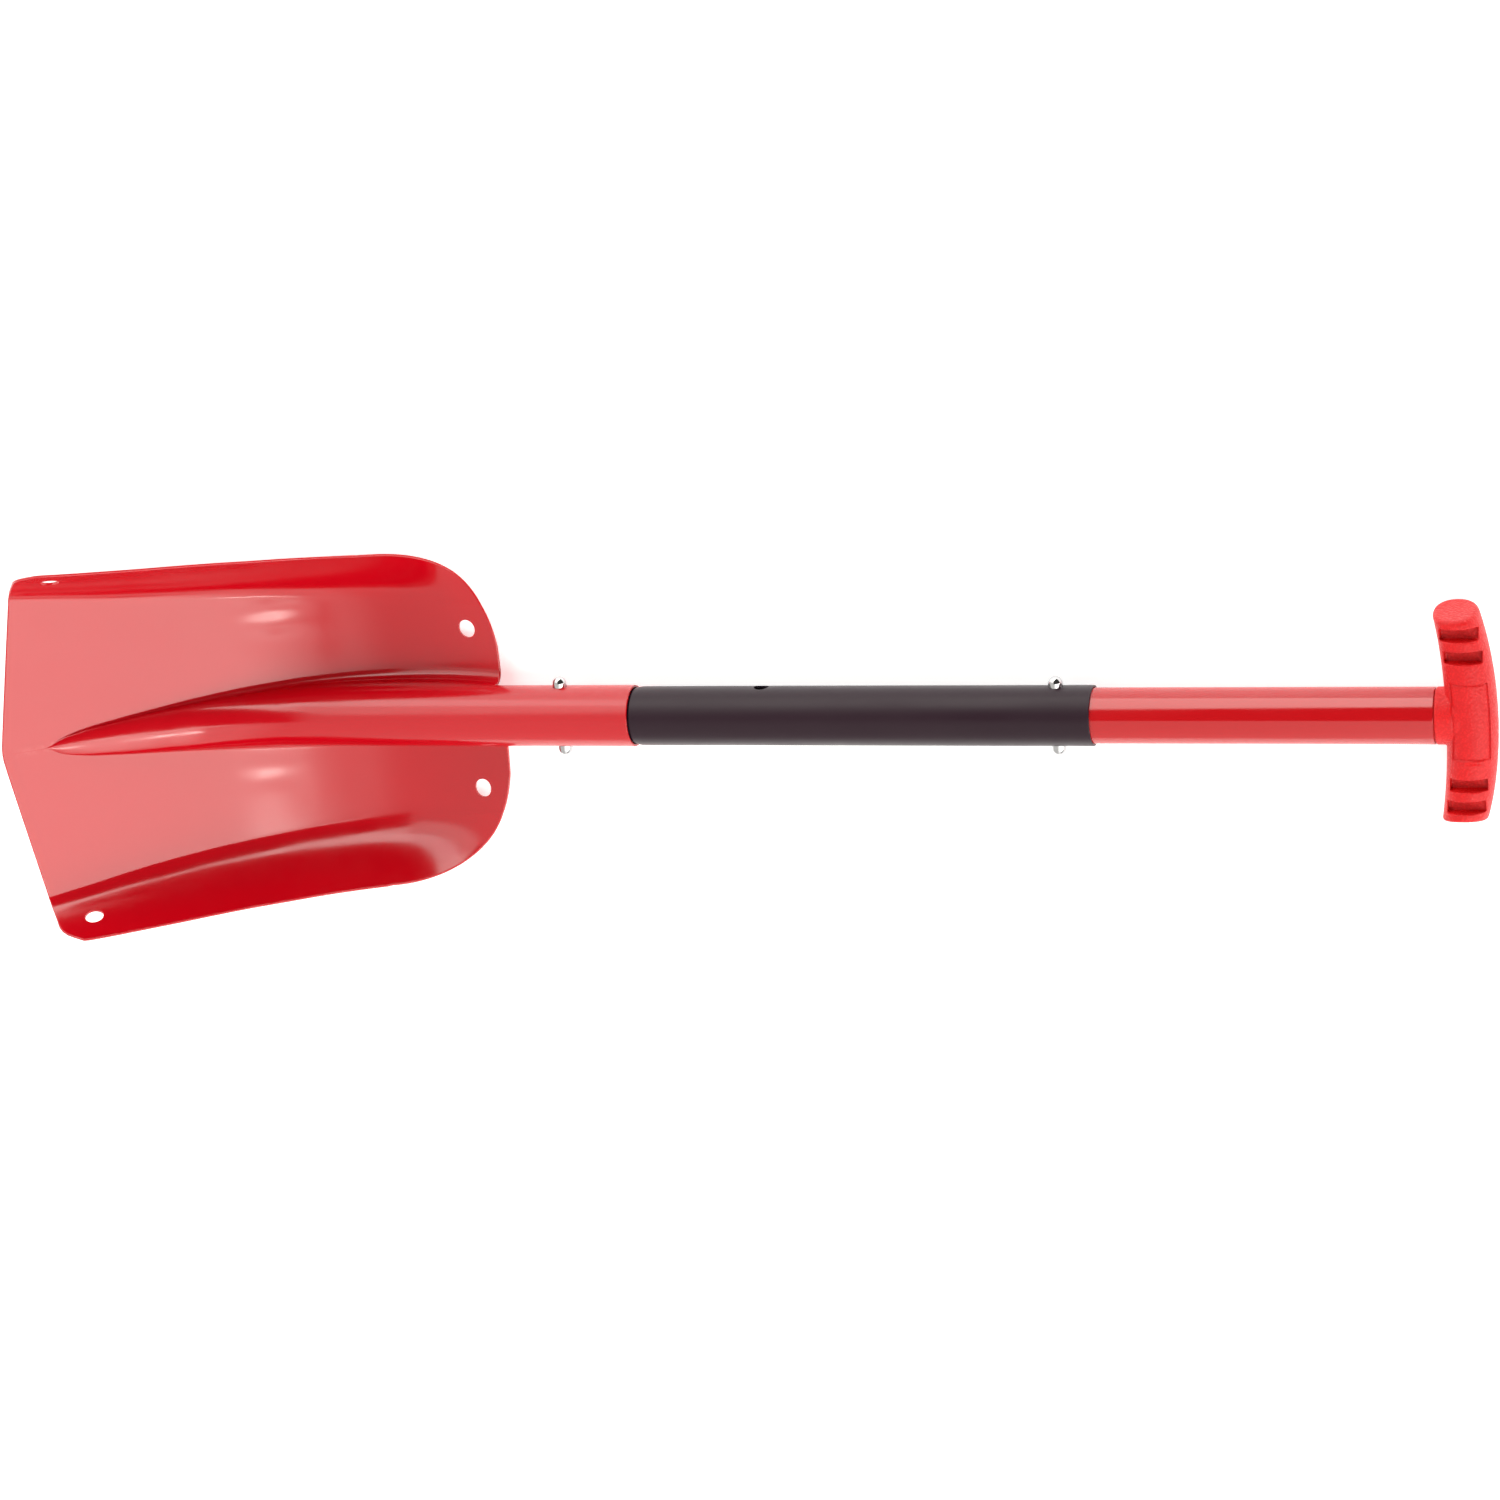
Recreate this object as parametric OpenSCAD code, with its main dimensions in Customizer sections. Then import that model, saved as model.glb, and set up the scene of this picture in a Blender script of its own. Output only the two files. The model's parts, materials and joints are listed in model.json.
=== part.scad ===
// Collapsible avalanche shovel: pressed aluminium blade with a rolled socket,
// a black middle tube, a telescoping handle tube with a moulded T-grip, and
// two spring clips whose snap buttons lock the joints.
// Frame: +X along the shaft towards the grip, +Y across, +Z out of the open
// side of the scoop. Origin on the shaft axis, halfway along the black tube.

/* [Blade] */
// Sheet thickness of the pressed blade
sheet_t = 1.5; // [1.2:0.1:2]
// Height of the blade's tip above the shaft axis
tip_z = 82.4; // [70:0.2:90]
// Half width of the scoop at the mouth, between the tops of its side walls
mouth_half = 104.8; // [102:0.2:107]
// Radius of the holes in the blade's corners
corner_hole_r = 5.1; // [4:0.1:6]

/* [Shaft] */
// Outer radius of the rolled socket
socket_r = 17; // [16.9:0.1:17.2]
// Outer radius of the middle tube
middle_r = 16.25; // [16.2:0.05:16.5]
// Outer radius of the handle tube
handle_r = 15; // [14.8:0.05:15.0]
// Wall of the handle tube
tube_wall = 1.2; // [1:0.1:1.4]
// Distance between the two lock positions of the handle tube
travel = 163; // [150:1:170]

/* [Snap buttons] */
// Radius of a snap button
button_r = 4; // [3.4:0.1:4.2]
// How far a snap button stands out of its tube
button_out = 5.6; // [4:0.1:5.8]
// Thickness of the spring clips' leaf
leaf_t = 0.8; // [0.6:0.1:1]
// Width of the spring clips' leaf
leaf_w = 9; // [7:0.5:9]

/* [Grip] */
// Half length of the T-grip, across the shaft
grip_half = 59.2; // [52:0.2:60]
// Depth of the four pockets in the grip
pocket_depth = 9; // [4:0.5:11]

/* [Hidden] */

// stations along the shaft
tip_x = -474.4;          // blade tip
rear_x = -210;           // rear edge of the blade
socket_x = -128.3;       // socket rim
neck_x = -196;           // lower end of the middle tube, inside the socket
middle_x = 128.3;        // upper end of the middle tube
handle_x0 = 84;          // lower end of the handle tube
handle_x1 = 307;         // upper end of the handle tube, at the grip's neck
low_btn_x = -171.2;      // lower snap buttons
up_btn_x = 108;          // upper snap buttons
socket_in = socket_r - sheet_t;
neck_r = socket_in - 0.06;
neck_in = neck_r - tube_wall;
middle_in = handle_r + 0.05;
handle_in = handle_r - tube_wall;
hole_r = button_r + 0.08;

// ---- the pressed sheet, described by its mid-surface ----
function lerp(a, b, t) = a + (b - a) * t;
function clamp01(t) = min(1, max(0, t));
function smooth(t) = let (u = clamp01(t)) u * u * (3 - 2 * u);

// floor of the scoop along the centre line: flat at the heel, then curving
// up to the lip, which runs straight
low_x = -256;
lip_x = -407.8;
floor_z = -20;
lip_slope = (tip_z - floor_z) / ((low_x - lip_x) / 2 + (lip_x - tip_x));
function floor_at(x) = x > low_x ? floor_z + 0.0035 * pow(x - low_x, 2)
  : x > lip_x ? floor_z + lip_slope / (low_x - lip_x) / 2 * pow(x - low_x, 2)
  : floor_z + lip_slope * (low_x - lip_x) / 2 + lip_slope * (lip_x - x);

// side walls: the line where they leave the floor, and the rise that they
// would have if they ran straight up from foot_y at steepness wall_m
function knee_y(x) = lookup(x, [[-490, 90.2], [-474, 87.8], [-463, 85.8], [-440, 81.8], [-425, 78.8],
  [-409, 76.2], [-382, 72.8], [-355, 70.2], [-329, 67.7], [-301, 65.9], [-274, 64.4], [-243, 62], [-205, 60]]);
function foot_y(x) = lookup(x, [[-474, 89.5], [-452, 86.6], [-437.6, 83.9], [-422.7, 81.1],
  [-408, 78.9], [-393, 77.3], [-378, 75.9], [-348, 73], [-333, 71.6], [-211, 71]]);
function wall_m(x) = lookup(x, [[-474, 1.95], [-437, 1.96], [-385, 1.99], [-363, 1.87], [-348, 1.77],
  [-318, 1.62], [-288, 1.48], [-273, 1.37], [-258, 1.12], [-243, 0.84], [-229, 0.35], [-211, 0.1]]);
// the floor is crowned a little between the side walls
function crown(x) = lookup(x, [[-474, 0.2], [-440, 0.4], [-340, 0.4], [-270, 0], [-230, -4], [-205, -4]]);
// the walls start at a shallow angle and steepen steadily towards their edge
function skin(x, y) = let (f = knee_y(x), t = max(0, abs(y) - f),
    rise = wall_m(x) * (side_y(x) - foot_y(x)), reach = side_y(x) - f,
    first = min(0.2, 0.5 * rise / reach), curve = (rise - first * reach) / pow(reach, 2))
  floor_at(x) - crown(x) * pow(min(abs(y), f) / f, 2) + first * t + curve * t * t;

// half width of the outline at a station: long, nearly straight sides, then
// round shoulders to the rear edge
function side_y(x) = 95.7 + (mouth_half - 95.7) * pow(clamp01((-270 - x) / 160), 1.2);
function edge_y(x) = x < -278 ? side_y(x)
  : let (u = (x + 278) / (rear_x + 278)) 20 + (side_y(-278) - 20) * pow(max(0, 1 - pow(u, 2.4)), 0.49);

// centre rib: a half cone that grows out of the lip and becomes the socket;
// its ridge is level behind -304, and follows the lip ahead of -388
rib_tip_x = -452;
function rib_w(x) = lookup(x, [[rib_tip_x, 1], [-449, 2.8], [-446, 4.2], [-439, 6], [-433, 7.1], [-418, 9],
  [-403, 10.8], [-388, 12.2], [-373, 13.4], [-358, 14.4], [-343, 15.3], [-328, 16.1], [-313, 16.7],
  [-298, 17.1], [-283, 17.3], [-213, 17.3]]);
function ridge_z(x) = x > -304 ? 17.3 : 17.3 + 0.00222 * pow(x + 304, 2);
function rib_h(x) = x > -388 ? ridge_z(x) - skin(x, rib_w(x))
  : lookup(x, [[rib_tip_x, 0.1], [-449, 1.2], [-446, 2.1], [-439, 3.6], [-433, 4.6], [-418, 5.9], [-403, 8.6], [-388, 11.9]]);
// the sheet turns out of the rib's flank in a soft bend
function fillet_at(x) = lookup(x, [[rib_tip_x, 0.6], [-446, 1.4], [-433, 2], [-418, 2.5], [-403, 2.9],
  [-388, 3.4], [-373, 3.9], [-343, 4.4], [-313, 4.8], [-283, 5], [-253, 5], [-213, 5.2]]);

// one half of a cross-section, from the ridge outwards, as [y, z] points
N_ARC = 7; N_FOOT = 3; N_SKIN = 10;
function rib_arc(x, a) = let (w = rib_w(x), h = rib_h(x), q = min(h, 17.3))
  [w * cos(a), skin(x, w) + h - q + q * sin(a)];
function skin_y(x, k) = let (y0 = rib_w(x) + fillet_at(x), y1 = edge_y(x),
  f = min(knee_y(x) + 3, lerp(y1, y0, 0.2)),
  in = f - min(7, 0.25 * (f - y0)), out = f + min(7, 0.6 * (y1 - f)))
  k <= 4 ? lerp(y0, in, k / 4) : k <= 8 ? lerp(in, out, (k - 4) / 4) : lerp(out, y1, (k - 8) / 2);
function half(x) = concat(
  [for (i = [0:N_ARC - 1]) rib_arc(x, 90 - i * 88 / (N_ARC - 1))],
  let (h = rib_h(x), w = rib_w(x), r = min(fillet_at(x), h * 0.8), z0 = skin(x, w + fillet_at(x)))
  [for (i = [0:N_FOOT - 1]) let (a = 15 + i * 60 / (N_FOOT - 1))
    [w + 0.2 + fillet_at(x) * (1 - cos(a)), z0 + r * (1 - sin(a))]],
  [for (k = [0:N_SKIN]) let (y = skin_y(x, k)) [y, skin(x, y)]]);
N_HALF = N_ARC + N_FOOT + N_SKIN + 1;

// rows start on the pointed cutting edge and straighten behind it
SWEEP = 95;
function sweep_y(y) = 0.145 * min(y, 88) + (y > 86 ? 13.5 * pow((y - 86) / 15, 1.7) : 0)
  + (y > 98 ? 10 * pow((y - 98) / 6, 2.6) : 0);
ROWS = concat([for (i = [0:5]) tip_x + 2.5 * i + 0.5 * i * i],
  [for (i = [1:15]) -449.4 + i * 11.2],
  [-272, -262, -252, -243, -235, -228, -222, -217.6, -214.6, rear_x]);
N_ROW = len(ROWS);
function row_x(i, y) = let (u = clamp01((ROWS[i] - tip_x) / SWEEP))
  ROWS[i] + sweep_y(y) * pow(1 - u, 1.5);
// a point of the mid-surface, with column j from -(N_HALF-1) to N_HALF-1
function surf(i, j) = let (p0 = half(ROWS[i])[abs(j)], x = row_x(i, p0[0]), p = half(x)[abs(j)])
  [x, sign(j) * p[0], p[1]];
GRID = [for (i = [0:N_ROW - 1]) [for (j = [-(N_HALF - 1):N_HALF - 1]) surf(i, j)]];
N_COL = 2 * N_HALF - 1;
function unit(v) = v / max(norm(v), 1e-9);
function normal_at(i, j) = unit(cross(
  GRID[min(i + 1, N_ROW - 1)][j] - GRID[max(i - 1, 0)][j],
  GRID[i][min(j + 1, N_COL - 1)] - GRID[i][max(j - 1, 0)]));
function id(s, i, j) = (s * N_ROW + i) * N_COL + j;

module sheet() {
  top = [for (i = [0:N_ROW - 1]) for (j = [0:N_COL - 1]) GRID[i][j] + normal_at(i, j) * sheet_t / 2];
  bottom = [for (i = [0:N_ROW - 1]) for (j = [0:N_COL - 1]) GRID[i][j] - normal_at(i, j) * sheet_t / 2];
  faces = concat(
    [for (i = [0:N_ROW - 2]) for (j = [0:N_COL - 2]) each [
      [id(0, i, j), id(0, i, j + 1), id(0, i + 1, j + 1)],
      [id(0, i, j), id(0, i + 1, j + 1), id(0, i + 1, j)],
      [id(1, i, j), id(1, i + 1, j + 1), id(1, i, j + 1)],
      [id(1, i, j), id(1, i + 1, j), id(1, i + 1, j + 1)]]],
    [for (i = [0:N_ROW - 2]) each [
      [id(0, i, 0), id(0, i + 1, 0), id(1, i + 1, 0)],
      [id(0, i, 0), id(1, i + 1, 0), id(1, i, 0)],
      [id(0, i, N_COL - 1), id(1, i + 1, N_COL - 1), id(0, i + 1, N_COL - 1)],
      [id(0, i, N_COL - 1), id(1, i, N_COL - 1), id(1, i + 1, N_COL - 1)]]],
    [for (j = [0:N_COL - 2]) each [
      [id(0, 0, j), id(1, 0, j), id(1, 0, j + 1)],
      [id(0, 0, j), id(1, 0, j + 1), id(0, 0, j + 1)],
      [id(0, N_ROW - 1, j), id(1, N_ROW - 1, j + 1), id(1, N_ROW - 1, j)],
      [id(0, N_ROW - 1, j), id(0, N_ROW - 1, j + 1), id(1, N_ROW - 1, j + 1)]]]);
  polyhedron(points = concat(top, bottom), faces = faces, convexity = 8);
}

// a solid of revolution about the shaft axis, from [x, r] points
module about_x(points, n = 96)
  rotate([0, 90, 0]) rotate_extrude($fn = n) polygon([for (p = points) [p[1], p[0]]]);
module tube_x(x0, x1, r, n = 96) translate([x0, 0, 0]) rotate([0, 90, 0]) cylinder(h = x1 - x0, r = r, $fn = n);
module pin_y(x, y0, y1, r) translate([x, y0, 0]) rotate([-90, 0, 0]) cylinder(h = y1 - y0, r = r, $fn = 48);

front_hole = [-435.1, 97];
rear_hole = [-228.7, 46.3];
// direction square to the side wall at a front hole
front_n = [0.158, -0.878, 0.452];

module blade() color([0.82, 0.1, 0.12]) difference() {
  union() {
    difference() {
      sheet();
      for (s = [-1, 1]) {
        translate([front_hole[0], s * front_hole[1], skin(front_hole[0], front_hole[1])])
          multmatrix([[1, 0, 0, 0], [0, s, 0, 0], [0, 0, 1, 0]])
          rotate([0, acos(front_n[2]), atan2(front_n[1], front_n[0])])
          cylinder(h = 14, r = corner_hole_r, center = true, $fn = 48);
        translate([rear_hole[0], s * rear_hole[1], -30]) cylinder(h = 25, r = corner_hole_r, $fn = 48);
      }
    }
    difference() {
      tube_x(rear_x - 7, socket_x, socket_r);
      translate([rear_x - 8, -0.5, -20]) cube([100, 1, 8]);
    }
  }
  tube_x(rear_x - 8, socket_x + 1, socket_in);
  pin_y(low_btn_x, -20, 20, hole_r + 0.07);
}

module middle_tube() color([0.16, 0.15, 0.16]) difference() {
  about_x([[neck_x, neck_in], [neck_x, neck_r - 0.5], [neck_x + 1, neck_r], [socket_x - 4.5, neck_r],
    [socket_x - 3, 14.75], [socket_x + 0.5, 14.75], [socket_x + 1.6, 15.3], [socket_x + 3.2, 15.95],
    [socket_x + 5.4, middle_r], [middle_x - 0.4, middle_r], [middle_x, middle_r - 0.4],
    [middle_x, middle_in], [socket_x + 9, middle_in], [socket_x + 2, neck_in - 0.9],
    [socket_x - 6, neck_in - 0.9], [socket_x - 8, neck_in]]);
  pin_y(low_btn_x, -20, 20, hole_r);
  pin_y(up_btn_x, -20, 20, hole_r + 0.07);
  pin_y(up_btn_x - travel, -20, 20, hole_r + 0.07);
}

module handle_tube() color([0.82, 0.1, 0.12]) difference() {
  about_x([[handle_x0, handle_in], [handle_x0, handle_r - 0.3], [handle_x0 + 0.6, handle_r],
    [handle_x1 - 0.3, handle_r], [handle_x1, handle_r - 0.3], [handle_x1, handle_in]]);
  pin_y(up_btn_x, -20, 20, hole_r);
  translate([rivet_x, 0, -20]) cylinder(h = 12, r = 2.1, $fn = 32);
}

// a V-shaped leaf, its legs flat under the buttons and bent into one loop
module spring_clip(x, y) {
  run = 46; r = 3.2;
  mid = concat([[-7, y - leaf_t / 2], [6.5, y - leaf_t / 2]],
    [for (a = [70:-20:-70]) [run - r + r * cos(a), r * sin(a)]],
    [[6.5, leaf_t / 2 - y], [-7, leaf_t / 2 - y]]);
  n = len(mid);
  function side(i) = let (d = unit(mid[min(i + 1, n - 1)] - mid[max(i - 1, 0)])) [-d[1], d[0]];
  // the bend at the pad needs a longer offset to keep the leaf's thickness
  outline = concat([for (i = [0:n - 1]) mid[i] + side(i) * leaf_t / 2],
    [for (i = [n - 1:-1:0]) mid[i] - side(i) * leaf_t / 2]);
  translate([x, 0, 0]) linear_extrude(leaf_w, center = true) polygon(outline);
}
module lower_spring_clip() color([0.75, 0.75, 0.76]) spring_clip(low_btn_x, low_leaf_y);
module upper_spring_clip() color([0.75, 0.75, 0.76]) spring_clip(up_btn_x, up_leaf_y);
low_leaf_y = 12.7;
up_leaf_y = 12.3;

module snap_button(x, y0, y1, side) scale([1, side, 1]) {
  pin_y(x, y0, y1 - button_r, button_r);
  translate([x, y1 - button_r, 0]) sphere(r = button_r, $fn = 48);
}
module lower_button_left() color([0.85, 0.85, 0.87]) snap_button(low_btn_x, low_leaf_y, socket_r + button_out, 1);
module lower_button_right() color([0.85, 0.85, 0.87]) mirror([0, 1, 0]) snap_button(low_btn_x, low_leaf_y, socket_r + button_out, 1);
module upper_button_left() color([0.85, 0.85, 0.87]) snap_button(up_btn_x, up_leaf_y, middle_r + button_out, 1);
module upper_button_right() color([0.85, 0.85, 0.87]) mirror([0, 1, 0]) snap_button(up_btn_x, up_leaf_y, middle_r + button_out, 1);

// ---- the T-grip ----
rivet_x = 297.5;
grip_x = 325.3;
grip_a = 13.2;    // half depth along the shaft, at the middle
grip_b = 15.5;    // half thickness across the hand
function bar_x(y) = grip_x - 4.4 * pow(y / 50, 2) - 0.8 * y / 50;
function bar_a(y) = grip_a - 1.1 * pow(y / 50, 2);
G_RING = 28;
G_Y = [-1, -0.965, -0.9, -0.75, -0.55, -0.35, -0.15, 0.15, 0.35, 0.55, 0.75, 0.9, 0.965, 1];
// end faces lean, so the hand's side is a little shorter than the back
function bar_end(t, z) = t * (grip_half - 0.5 - 0.18 * (z + grip_b) * pow(abs(t), 3));
function round_in(t) = abs(t) > 0.99 ? 0.88 : abs(t) > 0.95 ? 0.965 : 1;
function bar_pt(t, a) = let (k = round_in(t), c = cos(a), s = sin(a),
  y0 = t * grip_half, z = grip_b * k * sign(s) * pow(abs(s), 0.92))
  [bar_x(y0) + bar_a(y0) * k * sign(c) * pow(abs(c), 0.92), bar_end(t, z), z];
module bar() {
  n = len(G_Y);
  pts = concat([for (t = G_Y) for (i = [0:G_RING - 1]) bar_pt(t, i * 360 / G_RING)],
    [[bar_x(-grip_half), bar_end(-1, 0) - 0.5, 0], [bar_x(grip_half), bar_end(1, 0) + 0.5, 0]]);
  polyhedron(points = pts, convexity = 6, faces = concat(
    [for (k = [0:n - 2]) for (i = [0:G_RING - 1]) each let (a = k * G_RING + i,
      b = k * G_RING + (i + 1) % G_RING) [[a, b, a + G_RING], [b, b + G_RING, a + G_RING]]],
    [for (i = [0:G_RING - 1]) [(i + 1) % G_RING, i, n * G_RING]],
    [for (i = [0:G_RING - 1]) [(n - 1) * G_RING + i, (n - 1) * G_RING + (i + 1) % G_RING, n * G_RING + 1]]));
}
// pockets: centre along Y, and where each one starts and ends along X
module pocket(y, w = 6.6) translate([bar_x(y) - 9.6, y - w / 2, grip_b - pocket_depth]) cube([19.2, w, 20]);
module t_grip() color([0.9, 0.2, 0.2]) difference() {
  union() {
    bar();
    tube_x(handle_x1 + 0.2, grip_x - 4, handle_r);
    tube_x(rivet_x - 16, grip_x - 2, handle_in - 0.06);
  }
  tube_x(rivet_x - 17, handle_x1 + 2, handle_in - 2.6);
  translate([rivet_x, 0, -20]) cylinder(h = 12, r = 2.1, $fn = 32);
  for (y = [-45.5, -33.7, 33.7, 45.5]) pocket(y);
  translate([grip_x + 1 - 8.6, -19, grip_b - 0.9]) cube([17.2, 38, 5]);
}

module grip_rivet() color([0.8, 0.8, 0.82]) {
  translate([rivet_x, 0, -16.4]) cylinder(h = 1.35, r1 = 2.6, r2 = 4, $fn = 48);
  translate([rivet_x, 0, -15.2]) cylinder(h = 5.2, r = 2, $fn = 32);
  translate([rivet_x, 0, -10.4]) cylinder(h = 1.8, r = 2.9, $fn = 32);
}

blade();
middle_tube();
lower_spring_clip();
lower_button_left();
lower_button_right();
handle_tube();
upper_spring_clip();
upper_button_left();
upper_button_right();
t_grip();
grip_rivet();
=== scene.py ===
import json
import math

import bpy
import bmesh
import numpy as np
from mathutils import Matrix, Vector
from mathutils.kdtree import KDTree


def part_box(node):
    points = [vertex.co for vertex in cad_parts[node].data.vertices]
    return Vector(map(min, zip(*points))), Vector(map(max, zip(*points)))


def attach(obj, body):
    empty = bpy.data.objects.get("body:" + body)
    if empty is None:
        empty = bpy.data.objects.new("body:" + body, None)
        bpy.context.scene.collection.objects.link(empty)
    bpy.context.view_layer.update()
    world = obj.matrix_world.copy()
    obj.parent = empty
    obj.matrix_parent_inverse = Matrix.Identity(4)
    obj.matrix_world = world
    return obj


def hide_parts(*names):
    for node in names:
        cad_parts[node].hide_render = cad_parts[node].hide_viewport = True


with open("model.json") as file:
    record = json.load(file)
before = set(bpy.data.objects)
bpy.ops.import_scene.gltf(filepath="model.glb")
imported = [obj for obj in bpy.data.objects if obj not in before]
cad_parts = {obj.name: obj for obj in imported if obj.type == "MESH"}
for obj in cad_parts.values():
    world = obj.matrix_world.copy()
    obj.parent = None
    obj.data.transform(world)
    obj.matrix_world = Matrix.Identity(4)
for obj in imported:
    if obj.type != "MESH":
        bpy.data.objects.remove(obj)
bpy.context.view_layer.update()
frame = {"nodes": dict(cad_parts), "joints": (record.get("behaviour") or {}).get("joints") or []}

scene = bpy.context.scene
nodes = frame["nodes"]
MM = 0.001

# ------------------------------------------------------------------ camera
cam_data = bpy.data.cameras.new("camera")
cam_data.sensor_fit = "HORIZONTAL"
cam_data.sensor_width = 36.0
cam_data.lens = 89.1795
cam_data.clip_start = 0.05
cam_data.clip_end = 200
cam = bpy.data.objects.new("camera", cam_data)
scene.collection.objects.link(cam)
right = Vector((0.954089, -0.080747, -0.288435))
up = Vector((-0.002641, 0.960671, -0.277675))
back = right.cross(up)
cam.matrix_world = Matrix((
    (right.x, up.x, back.x, 0.542590),
    (right.y, up.y, back.y, 0.518944),
    (right.z, up.z, back.z, 1.857035),
    (0, 0, 0, 1)))
scene.camera = cam
scene.view_settings.view_transform = "Standard"
scene.view_settings.look = "None"
scene.view_settings.exposure = 0.0
scene.view_settings.gamma = 1.0


# ------------------------------------------------------------- node helpers
class Graph:
    def __init__(self, tree):
        self.t = tree
        self.x = 0

    def add(self, kind, **values):
        n = self.t.nodes.new(kind)
        self.x += 180
        n.location = (self.x, 0)
        for k, v in values.items():
            if k in n.inputs:
                n.inputs[k].default_value = v
            else:
                setattr(n, k, v)
        return n

    def link(self, a, b):
        self.t.links.new(a, b)
        return b.node

    def math(self, op, a, b=None, c=None, clamp=False):
        n = self.add("ShaderNodeMath", operation=op, use_clamp=clamp)
        for i, v in enumerate((a, b, c)):
            if v is None:
                continue
            if hasattr(v, "links"):
                self.link(v, n.inputs[i])
            else:
                n.inputs[i].default_value = v
        return n.outputs[0]

    def ramp(self, value, lo, hi, out_lo=0.0, out_hi=1.0, smooth=True):
        n = self.add("ShaderNodeMapRange")
        n.interpolation_type = "SMOOTHSTEP" if smooth else "LINEAR"
        n.clamp = True
        self.link(value, n.inputs[0])
        for i, v in enumerate((lo, hi, out_lo, out_hi)):
            n.inputs[i + 1].default_value = v
        return n.outputs[0]

    def noise(self, vector, scale, detail=2.0, rough=0.5):
        n = self.add("ShaderNodeTexNoise")
        n.inputs["Scale"].default_value = scale
        n.inputs["Detail"].default_value = detail
        n.inputs["Roughness"].default_value = rough
        self.link(vector, n.inputs["Vector"])
        return n.outputs[0]

    def mix(self, fac, a, b):
        n = self.add("ShaderNodeMix")
        n.data_type = "RGBA"
        if hasattr(fac, "links"):
            self.link(fac, n.inputs[0])
        else:
            n.inputs[0].default_value = fac
        for i, v in ((6, a), (7, b)):
            if hasattr(v, "links"):
                self.link(v, n.inputs[i])
            else:
                n.inputs[i].default_value = v if len(v) == 4 else (*v, 1)
        return n.outputs[2]


def material(name, base, dark, rough, rough_var=0.05, metallic=0.0, ior=1.5, coat=0.0,
             bumps=(), patch=12.0, edge=None, edge_amount=0.4, stretch=None, mottled=0.35, spec=0.5):
    """A procedural surface: two tones mixed by soft noise, fine specks, lighter or darker edges,
    roughness that varies, and bump from one or more noises given as (scale, height in metres)."""
    m = bpy.data.materials.new(name)
    m.use_nodes = True
    m.node_tree.nodes.clear()
    g = Graph(m.node_tree)
    coord = g.add("ShaderNodeTexCoord").outputs["Object"]
    vec = coord
    if stretch:
        mp = g.add("ShaderNodeMapping")
        mp.inputs["Scale"].default_value = stretch
        g.link(coord, mp.inputs["Vector"])
        vec = mp.outputs[0]
    cloud = g.noise(coord, patch, 3.0, 0.55)
    fine = g.noise(vec, 420, 2.0, 0.6)
    t = g.math("MULTIPLY", g.ramp(cloud, 0.35, 0.7), mottled)
    t = g.math("ADD", t, g.ramp(fine, 0.45, 0.75, 0.0, 0.12))
    colour = g.mix(t, base, dark)
    if edge is not None:
        point = g.add("ShaderNodeNewGeometry").outputs["Pointiness"]
        # the edge colour on sharp convex edges, in patches set by noise
        edge_patches = g.math("MULTIPLY", g.ramp(point, 0.52, 0.62), g.ramp(g.noise(coord, 90, 3.0, 0.7), 0.4, 0.62))
        colour = g.mix(g.math("MULTIPLY", edge_patches, edge_amount), colour, edge)
    out = g.add("ShaderNodeOutputMaterial")
    p = g.add("ShaderNodeBsdfPrincipled")
    g.link(colour, p.inputs["Base Color"])
    p.inputs["Metallic"].default_value = metallic
    p.inputs["IOR"].default_value = ior
    if "Specular IOR Level" in p.inputs:
        p.inputs["Specular IOR Level"].default_value = spec
    if coat:
        p.inputs["Coat Weight"].default_value = coat
        p.inputs["Coat Roughness"].default_value = rough * 0.6
    g.link(g.ramp(g.noise(vec, 60, 3.0, 0.6), 0.3, 0.7, max(0.02, rough - rough_var), rough + rough_var),
           p.inputs["Roughness"])
    last = None
    for scale, height in bumps:
        b = g.add("ShaderNodeBump")
        b.inputs["Strength"].default_value = 1.0
        b.inputs["Distance"].default_value = height
        g.link(g.noise(vec, scale, 2.0, 0.5), b.inputs["Height"])
        if last is not None:
            g.link(last, b.inputs["Normal"])
        last = b.outputs[0]
    if last is not None:
        g.link(last, p.inputs["Normal"])
    g.link(p.outputs[0], out.inputs["Surface"])
    return m


RED = (0.515, 0.0006, 0.0072)
RED_DARK = (0.478, 0.0005, 0.0062)
m_blade = material("red_powder_coat", RED, RED_DARK, 0.17, 0.03,
                   bumps=((700, 0.0000045), (150, 0.000012)), patch=9, edge=(0.62, 0.06, 0.06), edge_amount=0.35, spec=0.7)
m_tube = material("red_anodised_tube", (0.480, 0.0045, 0.0080), (0.450, 0.0035, 0.0065), 0.10, 0.03,
                  bumps=((900, 0.000001),), patch=14, edge=(0.7, 0.12, 0.12), stretch=(0.25, 1, 1), spec=0.72)
m_black = material("black_satin_tube", (0.0215, 0.0075, 0.0150), (0.0175, 0.0060, 0.0122), 0.34, 0.05,
                   bumps=((1100, 0.0000022),), patch=14, edge=(0.10, 0.09, 0.095), edge_amount=0.5, stretch=(0.3, 1, 1), spec=0.27)
m_chrome = material("polished_chrome", (0.56, 0.56, 0.57), (0.46, 0.46, 0.48), 0.07, 0.02, metallic=1.0,
                    bumps=((500, 0.000002),), patch=80)
m_steel = material("spring_steel", (0.50, 0.50, 0.52), (0.36, 0.36, 0.39), 0.28, 0.08, metallic=1.0,
                   bumps=((800, 0.000003),), patch=60, stretch=(0.3, 1, 1))


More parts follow.
